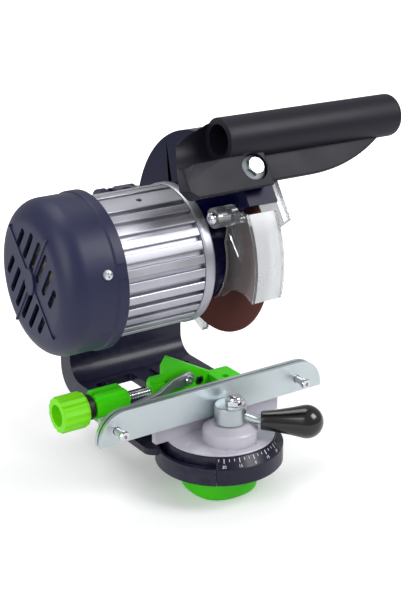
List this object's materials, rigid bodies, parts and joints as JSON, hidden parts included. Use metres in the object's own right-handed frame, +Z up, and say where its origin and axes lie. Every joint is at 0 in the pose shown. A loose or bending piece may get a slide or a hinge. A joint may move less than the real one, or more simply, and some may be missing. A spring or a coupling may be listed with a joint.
{
  "type": "electric chainsaw sharpener",
  "caption": "Bench electric saw chain sharpener: finned motor with a vented fan cover, hinged grinding head with handle and clear guard, swivelling chain vise with cam clamp and chain stop.",
  "frame": {"origin": "on the bench face, at the centre of the foot rib under the base", "axes": "+X along the motor and wheel axis, away from the fan cover; +Y from the vise to the hinge; +Z up"},
  "size_m": [0.306, 0.2445, 0.3274],
  "materials": {
    "abrasive": "brown bonded abrasive",
    "aluminium": "as cast aluminium",
    "beige_plastic": "beige moulding",
    "black_plastic": "black gloss plastic",
    "cast_grey": "grey casting, satin",
    "charcoal_plastic": "satin moulded plastic",
    "chrome": "polished",
    "clear_plastic": "clear plastic",
    "copper": "enamelled copper wire",
    "dark_steel": "dark steel",
    "green_plastic": "bright green moulding",
    "lime_plastic": "lime green moulding",
    "navy_paint": "satin dark navy paint on a casting",
    "navy_plastic": "dark navy moulding, glossy",
    "slate_plastic": "fine moulded texture, satin",
    "zinc_steel": "zinc plated"
  },
  "bodies": {
    "base": {"base_bracket": "navy_paint", "angle_scale": "navy_paint", "hinge_pin": "zinc_steel", "hinge_nut": "zinc_steel"},
    "head": {"motor_housing": "aluminium", "front_end_shield": "aluminium", "rear_end_shield": "aluminium", "stator_core": "dark_steel", "stator_windings": "copper", "front_bearing": "zinc_steel", "rear_bearing": "zinc_steel", "fan_cover": "slate_plastic", "fan_cover_screw_1": "zinc_steel", "fan_cover_screw_2": "zinc_steel", "fan_cover_screw_3": "zinc_steel", "wheel_casing": "navy_plastic", "side_cover": "clear_plastic", "casing_screw_1": "zinc_steel", "casing_screw_2": "zinc_steel", "casing_screw_3": "zinc_steel", "handle": "charcoal_plastic", "handle_bolt": "zinc_steel", "handle_nut": "zinc_steel", "guard_pivot_bolt": "chrome", "guard_pivot_nut": "zinc_steel", "switch_box": "black_plastic", "switch_lid": "black_plastic", "cable_gland": "black_plastic", "capacitor": "zinc_steel", "return_spring": "dark_steel"},
    "rotor": {"rotor_shaft": "dark_steel", "rotor_core": "dark_steel", "cooling_fan": "beige_plastic", "inner_flange": "zinc_steel", "grinding_wheel": "abrasive", "outer_flange": "zinc_steel", "wheel_nut": "zinc_steel"},
    "guard": {"clear_guard": "clear_plastic"},
    "depth_stop": {"depth_stop_screw": "zinc_steel"},
    "switch": {"switch_rocker": "green_plastic"},
    "table": {"swivel_table": "cast_grey", "table_stud": "zinc_steel", "rear_jaw": "zinc_steel", "left_guide_screw": "chrome", "right_guide_screw": "chrome", "cam_bolt": "chrome", "stop_block": "green_plastic", "stop_block_screw": "zinc_steel"},
    "sliding_jaw": {"front_jaw": "zinc_steel"},
    "lever": {"cam_hub": "zinc_steel", "lever_rod": "zinc_steel", "lever_knob": "black_plastic"},
    "adjuster": {"adjuster_knob": "lime_plastic", "adjuster_screw": "chrome", "adjuster_collar": "charcoal_plastic"},
    "carriage": {"stop_carriage": "green_plastic", "carriage_lock_screw": "dark_steel", "pawl_bolt": "chrome"},
    "pawl": {"stop_pawl": "aluminium"},
    "lock": {"lock_knob": "green_plastic"}
  },
  "joints": [
    {"name": "head_pivot", "type": "hinge", "parent": "base", "child": "head", "pos_m": [-0.004, 0.086, 0.175], "axis": [1, 0, 0], "range_deg": [0, 15.65], "stiffness_Nm_per_rad": 8, "springref_deg": -57.3},
    {"name": "wheel_spin", "type": "hinge", "parent": "head", "child": "rotor", "pos_m": [0, -0.0645, 0.173], "axis": [1, 0, 0], "continuous": true},
    {"name": "guard_swing", "type": "hinge", "parent": "head", "child": "guard", "pos_m": [-0.018, -0.1136, 0.212], "axis": [1, 0, 0], "range_deg": [-14, 0]},
    {"name": "depth_stop_turn", "type": "slide", "parent": "head", "child": "depth_stop", "axis": [0, 0, 1], "range_m": [-0.003, 0.006]},
    {"name": "switch_rock", "type": "hinge", "parent": "head", "child": "switch", "pos_m": [-0.089, 0.00715, 0.197], "axis": [0, 1, 0], "range_deg": [-7, 7]},
    {"name": "table_swivel", "type": "hinge", "parent": "base", "child": "table", "pos_m": [0, -0.072, 0], "axis": [0, 0, 1], "range_deg": [-35, 35]},
    {"name": "clamp_lever", "type": "hinge", "parent": "table", "child": "lever", "pos_m": [0.0016, -0.0922, 0.027], "axis": [0, 0, 1], "range_deg": [-45, 33]},
    {"name": "jaw_slide", "type": "slide", "parent": "table", "child": "sliding_jaw", "axis": [0, 1, 0], "range_m": [-0.00115, 0.00157]},
    {"name": "adjuster_turn", "type": "hinge", "parent": "table", "child": "adjuster", "pos_m": [-0.1, -0.047, 0.05], "axis": [1, 0, 0], "range_deg": [-1440, 1008]},
    {"name": "carriage_slide", "type": "slide", "parent": "table", "child": "carriage", "axis": [1, 0, 0], "range_m": [-0.005, 0.0035]},
    {"name": "pawl_lift", "type": "hinge", "parent": "carriage", "child": "pawl", "pos_m": [-0.0195, -0.052, 0.0546], "axis": [0, -1, 0], "range_deg": [-75, 0]},
    {"name": "lock_turn", "type": "hinge", "parent": "base", "child": "lock", "pos_m": [0, -0.072, -0.027], "axis": [0, 0, 1], "range_deg": [-180, 180]}
  ],
  "couplings": [
    {"joint": "clamp_lever", "follows": "jaw_slide", "rad_per_m": -500},
    {"joint": "adjuster_turn", "follows": "carriage_slide", "rad_per_m": 5026.6}
  ]
}
